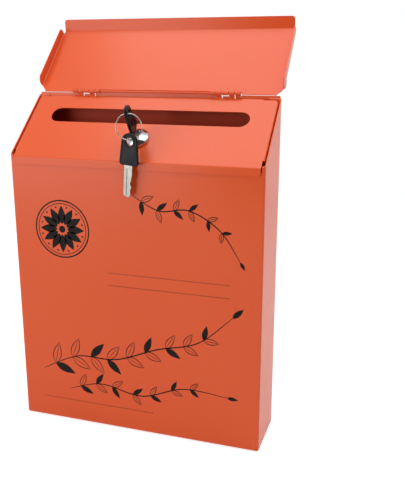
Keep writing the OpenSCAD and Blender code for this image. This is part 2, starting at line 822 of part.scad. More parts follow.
module spare_key_blade() {
    color(nickel) at_spare() blade();
}

module spare_key_bow() {
    color(black_plastic) at_spare() translate([0, 0, blade_len]) bow();
}

front_and_sides();
back_panel();
bottom_pan();
hinge_pin_left();
hinge_pin_right();
slot_door();
rain_lid();
lock_housing();
lock_nut();
lock_plug();
lock_wafers();
wafer_springs();
stop_washer();
lock_cam();
spring_washer();
cam_screw();
key_blade();
key_bow();
key_ring();
spare_key_blade();
spare_key_bow();
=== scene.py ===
"""Looks of a wall mailbox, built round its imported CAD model."""

import json
import math

import bmesh
import bpy
from bpy.props import FloatProperty, FloatVectorProperty, IntProperty, PointerProperty
from bpy.types import Operator, Panel, PropertyGroup
from mathutils import Matrix, Vector


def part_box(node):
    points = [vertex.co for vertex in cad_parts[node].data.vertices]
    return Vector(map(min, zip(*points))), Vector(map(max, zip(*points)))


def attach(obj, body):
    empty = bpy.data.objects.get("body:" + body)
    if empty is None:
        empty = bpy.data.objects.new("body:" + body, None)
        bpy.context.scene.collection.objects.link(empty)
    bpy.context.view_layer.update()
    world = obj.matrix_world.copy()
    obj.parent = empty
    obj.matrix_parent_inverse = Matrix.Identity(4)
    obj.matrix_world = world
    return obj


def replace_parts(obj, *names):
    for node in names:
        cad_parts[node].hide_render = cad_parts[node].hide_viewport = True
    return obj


bl_info = {
    "name": "Wall mailbox",
    "version": (1, 0, 0),
    "blender": (4, 5, 0),
    "location": "View3D > Sidebar > Mailbox",
    "description": "Builds the finishes, print, keys and studio of a wall mailbox",
    "category": "Object",
}

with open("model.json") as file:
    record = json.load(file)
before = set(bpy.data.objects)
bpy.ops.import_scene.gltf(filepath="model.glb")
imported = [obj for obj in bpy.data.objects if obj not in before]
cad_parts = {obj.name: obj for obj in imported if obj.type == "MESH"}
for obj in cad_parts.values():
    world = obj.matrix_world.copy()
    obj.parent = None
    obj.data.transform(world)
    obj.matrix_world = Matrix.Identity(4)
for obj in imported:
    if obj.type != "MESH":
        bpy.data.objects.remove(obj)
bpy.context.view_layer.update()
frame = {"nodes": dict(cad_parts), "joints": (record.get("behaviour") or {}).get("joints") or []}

MM = 0.001
SHEETS = ("front_and_sides", "bottom_pan", "slot_door", "rain_lid")
PINS = ("hinge_pin_left", "hinge_pin_right")
PLATED = ("lock_nut", "wafer_springs", "stop_washer", "lock_cam", "spring_washer", "cam_screw")
SHEET = 0.8 * MM
FRONT_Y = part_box("front_and_sides")[0].y
LOCK_JOINT = next(joint for joint in frame["joints"] if joint["name"] == "lock_turn")
LOCK_AXIS = Vector(LOCK_JOINT["axis"]).normalized()
LOCK_POS = Vector(LOCK_JOINT["pos_m"])


class PaintSettings(PropertyGroup):
    """Powder coat on the folded sheet"""

    colour: FloatVectorProperty(
        name="Colour", description="Main colour of the coat", subtype="COLOR",
        default=(0.8, 0.098, 0.015), min=0.0, max=1.0,
    )
    colour_deep: FloatVectorProperty(
        name="Deep colour", description="Colour of the slightly deeper patches", subtype="COLOR",
        default=(0.785, 0.093, 0.013), min=0.0, max=1.0,
    )
    roughness: FloatProperty(
        name="Roughness", description="Roughness of the coat", default=0.23, min=0.0, max=1.0,
    )
    coat: FloatProperty(
        name="Clear sheen", description="Weight of the clear top sheen",
        default=0.04, min=0.0, max=1.0,
    )
    grain: FloatProperty(
        name="Grain", description="Size of the fine waves in the coat", default=1.1 * MM,
        min=0.1 * MM, unit="LENGTH",
    )


class MetalSettings(PropertyGroup):
    """Chrome, nickel, ring wire, zinc and brass"""

    chrome: FloatVectorProperty(
        name="Chrome", description="Colour of the lock's plating", subtype="COLOR",
        default=(0.64, 0.65, 0.67), min=0.0, max=1.0,
    )
    nickel: FloatVectorProperty(
        name="Nickel", description="Colour of the key blades", subtype="COLOR",
        default=(0.38, 0.36, 0.32), min=0.0, max=1.0,
    )
    wire: FloatVectorProperty(
        name="Ring wire", description="Colour of the key ring", subtype="COLOR",
        default=(0.56, 0.52, 0.46), min=0.0, max=1.0,
    )
    zinc: FloatVectorProperty(
        name="Zinc", description="Colour of the plated small parts", subtype="COLOR",
        default=(0.52, 0.53, 0.53), min=0.0, max=1.0,
    )
    brass: FloatVectorProperty(
        name="Brass", description="Colour of the wafers", subtype="COLOR",
        default=(0.6, 0.4, 0.14), min=0.0, max=1.0,
    )


class KeySettings(PropertyGroup):
    """Moulded bows of the two keys"""

    width: FloatProperty(
        name="Bow width", description="Width of a bow", default=18.5 * MM, unit="LENGTH",
    )
    height: FloatProperty(
        name="Bow height", description="Height of a bow", default=28.0 * MM, unit="LENGTH",
    )
    top_width: FloatProperty(
        name="Top width", description="Width of a bow round its hole",
        default=15.6 * MM, unit="LENGTH",
    )
    corner: FloatProperty(
        name="Corner radius", description="Radius of a bow's two lower corners", default=3.0 * MM,
        unit="LENGTH",
    )
    thickness: FloatProperty(
        name="Bow thickness", description="Thickness of a bow", default=2.8 * MM, unit="LENGTH",
    )
    hole: FloatProperty(
        name="Bow hole", description="Diameter of the hole for the ring",
        default=7.3 * MM, unit="LENGTH",
    )
    hole_drop: FloatProperty(
        name="Hole drop", description="Distance of the hole below the top of the bow",
        default=7.4 * MM, unit="LENGTH",
    )
    rim: FloatProperty(
        name="Rim width", description="Width of the raised rim of a bow",
        default=2.0 * MM, unit="LENGTH",
    )
    sunk: FloatProperty(
        name="Panel depth", description="Depth of the panel within the rim", default=0.3 * MM,
        unit="LENGTH",
    )
    bow_start: FloatProperty(
        name="Bow in lock", description="Distance of the inserted key's bow from the lock's joint",
        default=11.0 * MM, unit="LENGTH",
    )
    edge: FloatProperty(
        name="Edge radius", description="Radius of the bow's rounded edges", default=0.7 * MM,
        unit="LENGTH",
    )
    turned: FloatProperty(
        name="Key turned", description="Angle of the inserted key from straight up the slope",
        default=math.radians(-9), subtype="ANGLE",
    )
    spare_turned: FloatProperty(
        name="Spare key turned", description="Angle of the hanging key from facing the front",
        default=math.radians(-8), subtype="ANGLE",
    )
    spare_tilt: FloatProperty(
        name="Spare key tilt", description="Sideways lean of the hanging key",
        default=math.radians(4), subtype="ANGLE",
    )
    spare_hole: FloatVectorProperty(
        name="Spare key hole", description="Centre of the hanging key's hole",
        subtype="TRANSLATION", unit="LENGTH", default=(2.72 * MM, -36.22 * MM, 280.27 * MM),
    )
    plastic: FloatVectorProperty(
        name="Plastic", description="Colour of the bows", subtype="COLOR",
        default=(0.006, 0.006, 0.008), min=0.0, max=1.0,
    )


class PrintSettings(PropertyGroup):
    """Plain leaf and dot ornament on the front"""

    ink: FloatVectorProperty(
        name="Ink", description="Colour of the ornament", subtype="COLOR",
        default=(0.008, 0.005, 0.004), min=0.0, max=1.0,
    )
    proud: FloatProperty(
        name="Ink height", description="Height of the ink above the coat",
        default=0.03 * MM, unit="LENGTH",
    )
    line: FloatProperty(
        name="Line width", description="Width of the widest drawn line",
        default=1.3 * MM, unit="LENGTH",
    )
    leaves: IntProperty(
        name="Leaves", description="Pairs of leaves on the long stem", default=9, min=1,
    )


class StageSettings(PropertyGroup):
    """Camera, lamps and floor"""

    camera_place: FloatVectorProperty(
        name="Camera place", description="Where the camera stands", subtype="TRANSLATION",
        unit="LENGTH", default=(0.23466, -0.56651, 0.35065),
    )
    pitch: FloatProperty(
        name="Pitch", description="Downward tilt of the camera", default=0.2603, subtype="ANGLE",
    )
    yaw: FloatProperty(
        name="Yaw", description="Turn of the camera to the left", default=0.3158, subtype="ANGLE",
    )
    shift: FloatVectorProperty(
        name="Shift", description="Shift of the picture right and up, as a share of its size",
        size=2, default=(0.01526, -0.0137),
    )
    lens: FloatProperty(
        name="Lens", description="Focal length of the camera",
        default=50.05, subtype="DISTANCE_CAMERA",
    )
    key_power: FloatProperty(
        name="Front lamp", description="Power of the large front lamp", default=18.4, unit="POWER",
    )
    side_power: FloatProperty(
        name="Side lamp", description="Power of the large lamp on the right",
        default=3.8, unit="POWER",
    )
    top_power: FloatProperty(
        name="Top lamp", description="Power of the large lamp above", default=14.2, unit="POWER",
    )
    world: FloatProperty(
        name="Fill", description="Strength of the even light from all round", default=0.5, min=0.0,
    )
    room_dark: FloatProperty(
        name="Dark side", description="Share of the fill that comes from the camera's side",
        default=0.25, min=0.0, max=1.0,
    )
    gloss_dark: FloatProperty(
        name="Dark room", description="Brightness of the room behind the camera in the gloss",
        default=0.06, min=0.0, max=1.0,
    )
    gloss_pale: FloatProperty(
        name="Pale room", description="Brightness of the room behind the mailbox in the gloss",
        default=0.88, min=0.0, max=1.0,
    )
    floor_seen: FloatProperty(
        name="Floor glow", description="Glow that brings the floor up to white",
        default=0.62, min=0.0,
    )
    floor_mirrored: FloatProperty(
        name="Floor glow in gloss", description="Glow of the floor where gloss shows it",
        default=0.3, min=0.0,
    )


def new_finish(name):
    """A material with only its shader, and the tools to wire it."""
    finish = bpy.data.materials.new(name)
    finish.use_nodes = True
    nodes = finish.node_tree.nodes
    return finish, nodes, finish.node_tree.links, nodes["Principled BSDF"]


def noise(nodes, links, size, detail, stretch=(1.0, 1.0, 1.0)):
    """Noise whose features are about size metres, in the object's own space."""
    place = nodes.new("ShaderNodeTexCoord")
    mapping = nodes.new("ShaderNodeMapping")
    texture = nodes.new("ShaderNodeTexNoise")
    mapping.inputs["Scale"].default_value = stretch
    texture.inputs["Scale"].default_value = 1.0 / size
    texture.inputs["Detail"].default_value = detail
    links.new(place.outputs["Object"], mapping.inputs["Vector"])
    links.new(mapping.outputs["Vector"], texture.inputs["Vector"])
    return texture.outputs["Fac"]


def ramp(nodes, links, source, low, high, start=0.35, end=0.65):
    """Colours or greys between low and high as source goes from start to end."""
    node = nodes.new("ShaderNodeValToRGB")
    for element, place, value in zip(node.color_ramp.elements, (start, end), (low, high)):
        element.position = place
        element.color = (*value, 1.0) if hasattr(value, "__len__") else (value, value, value, 1.0)
    links.new(source, node.inputs["Fac"])
    return node.outputs["Color"]


def bump(nodes, links, shader, height, distance, strength, edge=0.0):
    """Small relief on a shader's normal, with sharp edges rounded to the radius edge."""
    node = nodes.new("ShaderNodeBump")
    if edge:
        rounding = nodes.new("ShaderNodeBevel")
        rounding.samples = 6
        rounding.inputs["Radius"].default_value = edge
        links.new(rounding.outputs["Normal"], node.inputs["Normal"])
    node.inputs["Distance"].default_value = distance
    node.inputs["Strength"].default_value = strength
    links.new(height, node.inputs["Height"])
    links.new(node.outputs["Normal"], shader.inputs["Normal"])


def coat_finish(name, settings):
    """Satin powder coat with faint patches and fine waves."""
    finish, nodes, links, shader = new_finish(name)
    patches = noise(nodes, links, 90 * MM, detail=2.0)
    deep, full = tuple(settings.colour_deep), tuple(settings.colour)
    tint = ramp(nodes, links, patches, deep, full, start=0.3, end=0.6)
    links.new(tint, shader.inputs["Base Color"])
    smears = noise(nodes, links, 30 * MM, detail=5.0)
    smooth, dull = settings.roughness - 0.01, settings.roughness + 0.015
    rough = ramp(nodes, links, smears, smooth, dull, start=0.2, end=0.8)
    links.new(rough, shader.inputs["Roughness"])
    waves = noise(nodes, links, settings.grain, detail=2.0)
    bump(nodes, links, shader, waves, distance=0.05 * MM, strength=0.25, edge=0.35 * MM)
    shader.inputs["Coat Weight"].default_value = settings.coat
    shader.inputs["Coat Roughness"].default_value = 0.22
    shader.inputs["Specular IOR Level"].default_value = 0.42
    return finish


def paint_inside_shade(finish, inner_y, top_z):
    """Painted shade on the side of a sheet that faces the case, below top_z: a dark red tint stands
    for the shade inside the box, with a duller roughness there.
    """
    nodes, links = finish.node_tree.nodes, finish.node_tree.links
    shader = nodes["Principled BSDF"]
    place = nodes.new("ShaderNodeTexCoord")
    split = nodes.new("ShaderNodeSeparateXYZ")
    outside = nodes.new("ShaderNodeMath")
    outside.operation = "MAXIMUM"
    links.new(place.outputs["Object"], split.inputs[0])
    for k, (axis, start, depth) in enumerate((("Y", inner_y, 0.3 * MM), ("Z", top_z, 5 * MM))):
        reach = nodes.new("ShaderNodeMapRange")
        reach.inputs["From Min"].default_value = start
        reach.inputs["From Max"].default_value = start + depth
        links.new(split.outputs[axis], reach.inputs["Value"])
        links.new(reach.outputs["Result"], outside.inputs[k])
    # painted shade: this dark red tint stands for the shade inside the case; the higher roughness
    # is a real surface setting
    painted_shade_tint, dull_roughness = (0.5, 0.035, 0.002, 1.0), 0.7
    changes = (("Base Color", "RGBA", painted_shade_tint), ("Roughness", "FLOAT", dull_roughness))
    for socket, kind, inside_value in changes:
        blend = nodes.new("ShaderNodeMix")
        blend.data_type = kind
        share, inner, outer = [item for item in blend.inputs if item.enabled]
        inner.default_value = inside_value
        links.new(outside.outputs[0], share)
        links.new(shader.inputs[socket].links[0].from_socket, outer)
        links.new(next(item for item in blend.outputs if item.enabled), shader.inputs[socket])


def dome(nodes, links, shader, slope, radius):
    """Normals of a face that falls away from the lock's axis, by slope at radius."""
    place = nodes.new("ShaderNodeTexCoord")
    offset = nodes.new("ShaderNodeVectorMath")
    offset.operation = "SUBTRACT"
    offset.inputs[1].default_value = LOCK_POS
    arm = nodes.new("ShaderNodeVectorMath")
    arm.operation = "CROSS_PRODUCT"
    arm.inputs[1].default_value = LOCK_AXIS
    reach = nodes.new("ShaderNodeVectorMath")
    reach.operation = "DOT_PRODUCT"
    fall = nodes.new("ShaderNodeMath")
    fall.operation = "MULTIPLY"
    fall.inputs[1].default_value = -slope / (2 * radius)
    links.new(place.outputs["Object"], offset.inputs[0])
    links.new(offset.outputs["Vector"], arm.inputs[0])
    links.new(arm.outputs["Vector"], reach.inputs[0])
    links.new(arm.outputs["Vector"], reach.inputs[1])
    links.new(reach.outputs["Value"], fall.inputs[0])
    first = shader.inputs["Normal"].links[0].from_node
    node = nodes.new("ShaderNodeBump")
    node.inputs["Distance"].default_value = 1.0
    links.new(fall.outputs["Value"], node.inputs["Height"])
    links.new(first.outputs["Normal"], node.inputs["Normal"])
    links.new(node.outputs["Normal"], shader.inputs["Normal"])


def metal_finish(name, colour, rough_low, rough_high, grain, stretch=(1.0, 1.0, 1.0)):
    """Plated metal with wiped patches and a fine brushed relief."""
    finish, nodes, links, shader = new_finish(name)
    shader.inputs["Metallic"].default_value = 1.0
    wiped = noise(nodes, links, 6 * MM, detail=4.0)
    dull = tuple(0.86 * c for c in colour)
    links.new(ramp(nodes, links, wiped, dull, tuple(colour)), shader.inputs["Base Color"])
    smears = noise(nodes, links, 3 * MM, detail=6.0)
    links.new(ramp(nodes, links, smears, rough_low, rough_high), shader.inputs["Roughness"])
    brushed = noise(nodes, links, grain, detail=3.0, stretch=stretch)
    bump(nodes, links, shader, brushed, distance=0.02 * MM, strength=0.3)
    return finish


def moulded_finish(name, colour):
    """Glossy moulded plastic with faint handling marks."""
    finish, nodes, links, shader = new_finish(name)
    worn = noise(nodes, links, 5 * MM, detail=5.0)
    paler = tuple(c + 0.012 for c in colour)
    tint = ramp(nodes, links, worn, tuple(colour), paler, start=0.4, end=0.8)
    links.new(tint, shader.inputs["Base Color"])
    smears = noise(nodes, links, 2 * MM, detail=6.0)
    links.new(ramp(nodes, links, smears, 0.2, 0.34), shader.inputs["Roughness"])
    shader.inputs["Specular IOR Level"].default_value = 0.17
    pits = noise(nodes, links, 0.35 * MM, detail=2.0)
    bump(nodes, links, shader, pits, distance=0.02 * MM, strength=0.25)
    return finish


def ink_finish(colour):
    """Screen-printed ink, flatter than the coat below."""
    finish, nodes, links, shader = new_finish("printed_ink")
    worn = noise(nodes, links, 2.5 * MM, detail=6.0)
    shader.inputs["Specular IOR Level"].default_value = 0.12
    faded = tuple(c + 0.02 for c in colour)
    tint = ramp(nodes, links, worn, tuple(colour), faded, start=0.45, end=0.85)
    links.new(tint, shader.inputs["Base Color"])
    smears = noise(nodes, links, 4 * MM, detail=4.0)
    links.new(ramp(nodes, links, smears, 0.38, 0.52), shader.inputs["Roughness"])
    return finish


def dress(node, finish):
    """A CAD node's finish, with its facets shaded smooth."""
    mesh = frame["nodes"][node].data
    mesh.materials.clear()
    mesh.materials.append(finish)
    shade(mesh, angle=30)


def shade(mesh, angle):
    """Smooth shading, with the edges sharper than angle degrees kept crisp."""
    work = bmesh.new()
    work.from_mesh(mesh)
    for face in work.faces:
        face.smooth = True
        face.material_index = 0
    for edge in work.edges:
        edge.smooth = len(edge.link_faces) == 2 and edge.calc_face_angle() < math.radians(angle)
    work.to_mesh(mesh)
    work.free()


def add_piece(name, mesh, finish, body):
    """A new piece that rides on a body."""
    piece = bpy.data.objects.new(name, mesh)
    bpy.context.scene.collection.objects.link(piece)
    mesh.materials.clear()
    mesh.materials.append(finish)
    shade(mesh, angle=40)
    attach(piece, body)
    return piece


def paint_sheets():
    """Coats every sheet, the back with painted shade on its inner side: a darker red and a duller
    roughness there.
    """
    settings = bpy.context.scene.mailbox_paint
    finish = coat_finish("powder_coat", settings)
    for node in SHEETS:
        dress(node, finish)
    # the back's own material, with painted shade on its inner side below a band at the top
    shaded_rear = coat_finish("powder_coat_inside_shade", settings)
    inner_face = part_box("back_panel")[1].y - SHEET
    case_top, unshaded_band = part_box("front_and_sides")[1].z, 10 * MM
    paint_inside_shade(shaded_rear, inner_face, case_top - unshaded_band)
    dress("back_panel", shaded_rear)


def finish_hinges():
    """Coats the pins like the sheets, and joins them with a wire along the hinge line."""
    finish = bpy.data.materials["powder_coat"]
    for node in PINS:
        dress(node, finish)
    (low, high), (right_low, _) = (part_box(node) for node in PINS)
    middle, radius = (low + high) / 2, (high.y - low.y) / 2
    span = right_low.x - high.x
    work = bmesh.new()
    bmesh.ops.create_cone(work, cap_ends=True, segments=24, depth=span,
                          radius1=radius, radius2=radius)
    rims = [edge for edge in work.edges
            if abs(edge.verts[0].co.z - edge.verts[1].co.z) < 0.1 * MM]
    bmesh.ops.bevel(work, geom=rims, offset=0.2 * MM, segments=2, affect="EDGES")
    wire = bpy.data.meshes.new("hinge_wire")
    work.to_mesh(wire)
    work.free()
    along_x = Matrix.Rotation(math.pi / 2, 4, "Y")
    wire.transform(Matrix.Translation((0.0, middle.y, middle.z)) @ along_x)
    add_piece("hinge_wire", wire, finish, "case")


def arc_points(x, z, r, start, end, steps=14):
    """Points on an arc between two angles."""
    angles = [start + (end - start) * k / steps for k in range(steps + 1)]
    return [(x + r * math.cos(a), z + r * math.sin(a)) for a in angles]


def bow_profile(settings, inset):
    """Outline of a bow in its own plane: a round end with the hole, and sides that spread."""
    low_r, top_r = settings.corner, settings.top_width / 2
    low_x, top_z = settings.width / 2 - low_r, settings.height - top_r
    side = (math.atan2(top_z - low_r, -low_x)
            - math.acos((low_r - top_r) / math.hypot(low_x, top_z - low_r)))
    return [
        *arc_points(low_x, low_r, low_r - inset, -math.pi / 2, side),
        *arc_points(0.0, top_z, top_r - inset, side, math.pi - side, 36),
        *arc_points(-low_x, low_r, low_r - inset, math.pi - side, 3 * math.pi / 2),
    ]


def circle_points(x, z, r, steps=40):
    """Points round a circle."""
    angles = [2 * math.pi * k / steps for k in range(steps)]
    return [(x + r * math.cos(a), z + r * math.sin(a)) for a in angles]


def plate_mesh(name, loops, thickness, bevel):
    """A flat plate in X and Z with rounded edges, from its outline and that of its hole."""
    data = bpy.data.curves.new(name, "CURVE")
    data.dimensions = "2D"
    data.fill_mode = "BOTH"
    for loop in loops:
        spline = data.splines.new("POLY")
        spline.points.add(len(loop) - 1)
        for point, (x, z) in zip(spline.points, loop):
            point.co = (x, z, 0.0, 1.0)
        spline.use_cyclic_u = True
    data.extrude = thickness / 2 - bevel
    data.bevel_depth = bevel
    data.bevel_resolution = 3
    data.offset = -bevel
    shape = bpy.data.objects.new(name, data)
    bpy.context.scene.collection.objects.link(shape)
    bpy.context.view_layer.update()
    solved = shape.evaluated_get(bpy.context.evaluated_depsgraph_get())
    mesh = bpy.data.meshes.new_from_object(solved)
    bpy.data.objects.remove(shape)
    bpy.data.curves.remove(data)
    mesh.transform(Matrix.Rotation(math.pi / 2, 4, "X"))
    work = bmesh.new()
    work.from_mesh(mesh)
    bmesh.ops.remove_doubles(work, verts=work.verts, dist=0.001 * MM)
    bmesh.ops.recalc_face_normals(work, faces=work.faces)
    work.to_mesh(mesh)
    work.free()
    mesh.name = name
    return mesh


def join_meshes(name, parts):
    """One mesh out of several."""
    work = bmesh.new()
    for part in parts:
        work.from_mesh(part)
        bpy.data.meshes.remove(part)
    mesh = bpy.data.meshes.new(name)
    work.to_mesh(mesh)
    work.free()
    return mesh


def bow_mesh(name, settings):
    """A moulded bow: a core plate, a raised rim and a collar round the hole."""
    hole_z = settings.height - settings.hole_drop
    hole = circle_points(0.0, hole_z, settings.hole / 2)
    collar_width = 2.2 * MM
    collar_ring = circle_points(0.0, hole_z, settings.hole / 2 + collar_width)
    outside, inside = bow_profile(settings, 0.0), bow_profile(settings, settings.rim)
    core_thickness = settings.thickness - 2 * settings.sunk
    core = plate_mesh("core", [outside, hole], core_thickness, bevel=0.5 * MM)
    rim = plate_mesh("rim", [outside, inside], settings.thickness, settings.edge)
    collar = plate_mesh("collar", [collar_ring, hole], settings.thickness, settings.edge)
    return join_meshes(name, [core, rim, collar])


def add_bow(name, node, body, place, finish):
    """A bow at its place, which stands for the CAD's plain one."""
    bow = bow_mesh(name, bpy.context.scene.mailbox_keys)
    bow.transform(place)
    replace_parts(add_piece(name, bow, finish, body), node)


def make_keys():
    """The two keys and their ring: the bows are modelled, the rest is finished."""
    settings, metals = bpy.context.scene.mailbox_keys, bpy.context.scene.mailbox_metal
    nickel = metal_finish("dull_nickel", metals.nickel, rough_low=0.2, rough_high=0.36,
                          grain=0.3 * MM, stretch=(1.0, 1.0, 0.15))
    plastic = moulded_finish("black_plastic", settings.plastic)
    for node in ("key_blade", "spare_key_blade"):
        dress(node, nickel)
    dress("key_ring", metal_finish("ring_wire", metals.wire, rough_low=0.16, rough_high=0.3,
                                   grain=0.4 * MM))

    slope = math.atan2(-LOCK_AXIS.y, LOCK_AXIS.z)
    in_lock = (Matrix.Translation(LOCK_POS)
               @ Matrix.Rotation(slope, 4, "X")
               @ Matrix.Rotation(math.pi / 2 - settings.turned, 4, "Z")
               @ Matrix.Translation((0, 0, settings.bow_start)))
    add_bow("key_bow_moulded", "key_bow", "lock_core", in_lock, plastic)

    on_ring = (Matrix.Translation(Vector(settings.spare_hole))
               @ Matrix.Rotation(settings.spare_turned, 4, "Z")
               @ Matrix.Rotation(settings.spare_tilt, 4, "Y")
               @ Matrix.Translation((0, 0, settings.hole_drop - settings.height)))
    add_bow("spare_key_bow_moulded", "spare_key_bow", "spare_key", on_ring, plastic)


def finish_lock():
    """Chrome on the lock's face, with its slight dome, and the finishes of the parts behind."""
    metals = bpy.context.scene.mailbox_metal
    zinc = metal_finish("zinc_plate", metals.zinc, rough_low=0.28, rough_high=0.45, grain=0.6 * MM)
    chrome = metal_finish("bright_chrome", metals.chrome, rough_low=0.05, rough_high=0.1,
                          grain=0.5 * MM)
    tree = chrome.node_tree
    dome(tree.nodes, tree.links, tree.nodes["Principled BSDF"], slope=0.95, radius=10.5 * MM)
    for node in ("lock_housing", "lock_plug"):
        dress(node, chrome)
    dress("lock_wafers", metal_finish("stamped_brass", metals.brass, rough_low=0.25, rough_high=0.4,
                                      grain=0.4 * MM))
    for node in PLATED:
        dress(node, zinc)


def smooth_path(points):
    """A smooth curve through the given points, as many short steps."""
    path = []
    count, steps = len(points), 14
    for i in range(count - 1):
        a, b, c, d = (Vector(points[min(max(i + k, 0), count - 1)]) for k in (-1, 0, 1, 2))
        for k in range(steps):
            t = k / steps
            path.append(0.5 * ((2 * b) + (c - a) * t + (2 * a - 5 * b + 4 * c - d) * t * t
                               + (3 * b - 3 * c + d - a) * t ** 3))
    path.append(Vector(points[-1]))
    return path


class Ink:
    """Thin closed shapes lying on the front, drawn in X and Z millimetres."""

    def __init__(self, proud):
        self.work = bmesh.new()
        self.outer = FRONT_Y - proud
        self.inner = FRONT_Y + proud

    def fill(self, outline):
        """A filled convex or mildly curved outline."""
        front = [self.work.verts.new((x * MM, self.outer, z * MM)) for x, z in outline]
        back = [self.work.verts.new((x * MM, self.inner, z * MM)) for x, z in outline]
        self.work.faces.new(front)
        self.work.faces.new(back[::-1])
        count = len(front)
        for k in range(count):
            self.work.faces.new((front[k], back[k], back[(k + 1) % count], front[(k + 1) % count]))

    def stroke(self, points, width, closed=False):
        """A line whose width swells in the middle and thins at its ends."""
        count, taper = len(points), 0.25
        rings = []
        for k, point in enumerate(points):
            if closed:
                along = points[(k + 1) % count] - points[k - 1]
            else:
                along = points[min(k + 1, count - 1)] - points[max(k - 1, 0)]
            side = Vector((-along.y, along.x)).normalized()
            arch = math.sin(math.pi * k / (count - 1))
            swell = 1.0 if closed else taper + (1 - taper) * arch ** 0.6
            half = side * width * swell / 2
            ring = []
            for offset in (half, -half):
                for y in (self.outer, self.inner):
                    spot = point + offset
                    ring.append(self.work.verts.new((spot.x * MM, y, spot.y * MM)))
            rings.append(ring)
        pairs = list(zip(rings, rings[1:]))
        if closed:
            pairs.append((rings[-1], rings[0]))
        for a, b in pairs:
            self.work.faces.new((a[0], b[0], b[2], a[2]))
            self.work.faces.new((a[1], a[3], b[3], b[1]))
            self.work.faces.new((a[0], a[1], b[1], b[0]))
            self.work.faces.new((a[2], b[2], b[3], a[3]))
        if not closed:
            self.work.faces.new((rings[0][0], rings[0][2], rings[0][3], rings[0][1]))
            self.work.faces.new((rings[-1][0], rings[-1][1], rings[-1][3], rings[-1][2]))

    def dot(self, x, z, r):
        """A small filled disc."""
        self.fill(circle_points(x, z, r, steps=10))

    def leaf(self, base, angle, length, width, line, filled=False):
        """A pointed leaf with its midrib, outlined or filled."""
        along = Vector((math.cos(angle), math.sin(angle)))
        side = Vector((-along.y, along.x))
        steps = 12
        rib = [base + along * (length * k / steps) for k in range(steps + 1)]
        swell = [side * (width / 2 * math.sin(math.pi * (k / steps) ** 0.8))
                 for k in range(steps + 1)]
        rim = [p + out for p, out in zip(rib, swell)]
        other = [p - out for p, out in zip(rib, swell)]
        if filled:
            self.fill([tuple(p) for p in rim + other[-2:0:-1]])
        else:
            self.stroke(rim, line)
            self.stroke(other, line)
            self.stroke(rib[:-1], line * 0.6)

    def mesh(self, name):
        """Everything drawn so far as one mesh."""
        bmesh.ops.recalc_face_normals(self.work, faces=self.work.faces)
        bmesh.ops.triangulate(self.work, faces=[f for f in self.work.faces if len(f.verts) > 4])
        mesh = bpy.data.meshes.new(name)
        self.work.to_mesh(mesh)
        self.work.free()
        return mesh


def leafy_stem(ink, points, line, pairs, length, width, lean, shrink, dark_every):
    """A smooth stem with pairs of leaves that get smaller towards its tip."""
    stem, vein, bare = smooth_path(points), line * 0.62, 6
    ink.stroke(stem, line)
    for k in range(pairs):
        spot = bare + k * (len(stem) - 2 * bare) // pairs
        along = stem[spot + 1] - stem[spot - 1]
        heading = math.atan2(along.y, along.x)
        size = 1 - shrink * k / pairs
        for turn in (1, -1):
            dark = (k + (turn > 0)) % dark_every == 0
            ink.leaf(stem[spot], heading + turn * math.radians(lean - k),
                     length * size, width * size, vein, filled=dark)
    tip = stem[-1] - stem[-3]
    ink.leaf(stem[-1], math.atan2(tip.y, tip.x), length * (1 - shrink), width * (1 - shrink),
             vein, filled=True)


def draw_ornament(settings):
    """Leafy stems, a round flower and dotted rules."""
    ink = Ink(settings.proud)
    line = settings.line / MM

    long_stem = [(-98, 52), (-60, 70), (-20, 72), (22, 88), (62, 100), (94, 128)]
    low_stem = [(-70, 34), (-36, 44), (6, 38), (48, 52), (90, 50)]
    top_stem = [(0, 233), (26, 220), (54, 222), (82, 206), (100, 180)]
    leafy_stem(ink, long_stem, line, pairs=settings.leaves, length=23, width=8.4, lean=50,
               shrink=0.4, dark_every=3)
    leafy_stem(ink, low_stem, line * 0.9, pairs=7, length=15, width=5.4, lean=46,
               shrink=0.3, dark_every=2)
    leafy_stem(ink, top_stem, line * 0.9, pairs=6, length=13, width=4.8, lean=54,
               shrink=0.35, dark_every=2)

    middle = Vector((-70, 196))
    for radius, share in ((27, 1.0), (24.2, 0.5)):
        ring = [middle + Vector(p) for p in circle_points(0, 0, radius, steps=72)]
        ink.stroke(ring, line * share, closed=True)
    petals = 12
    for k in range(petals):
        a = 2 * math.pi * k / petals
        out = Vector((math.cos(a), math.sin(a)))
        ink.leaf(middle + out * 5.0, a, length=17.4, width=7.6, line=line * 0.5, filled=True)
        half_way = a + math.pi / petals
        between = Vector((math.cos(half_way), math.sin(half_way)))
        ink.dot(*(middle + between * 21.2), 0.9)
    ink.dot(*middle, 3.4)

    dots, pitch, dot_r = 45, 2.6, 0.55
    for k in range(dots):
        for x, z in ((-24, 158), (-24, 146), (-98, 22)):
            ink.dot(x + pitch * k, z, dot_r)
    return ink.mesh("front_ornament")


def print_front():
    """Lays the ornament on the front."""
    settings = bpy.context.scene.mailbox_print
    add_piece("front_ornament", draw_ornament(settings), ink_finish(settings.ink), "case")


def area_lamp(name, place, target, width, height, power):
    """A large soft lamp that looks at target."""
    data = bpy.data.lights.new(name, "AREA")
    data.shape = "RECTANGLE"
    data.size = width
    data.size_y = height
    data.energy = power
    lamp = bpy.data.objects.new(name, data)
    lamp.location = place
    lamp.rotation_euler = (Vector(target) - Vector(place)).to_track_quat("-Z", "Y").to_euler()
    bpy.context.scene.collection.objects.link(lamp)


def seen_directly(nodes, links):
    """1 for rays from the camera, from gloss and through glass, and 0 for the rest."""
    rays = nodes.new("ShaderNodeLightPath")
    total = rays.outputs["Is Camera Ray"]
    for kind in ("Is Glossy Ray", "Is Transmission Ray"):
        larger = nodes.new("ShaderNodeMath")
        larger.operation = "MAXIMUM"
        links.new(total, larger.inputs[0])
        links.new(rays.outputs[kind], larger.inputs[1])
        total = larger.outputs[0]
    return total


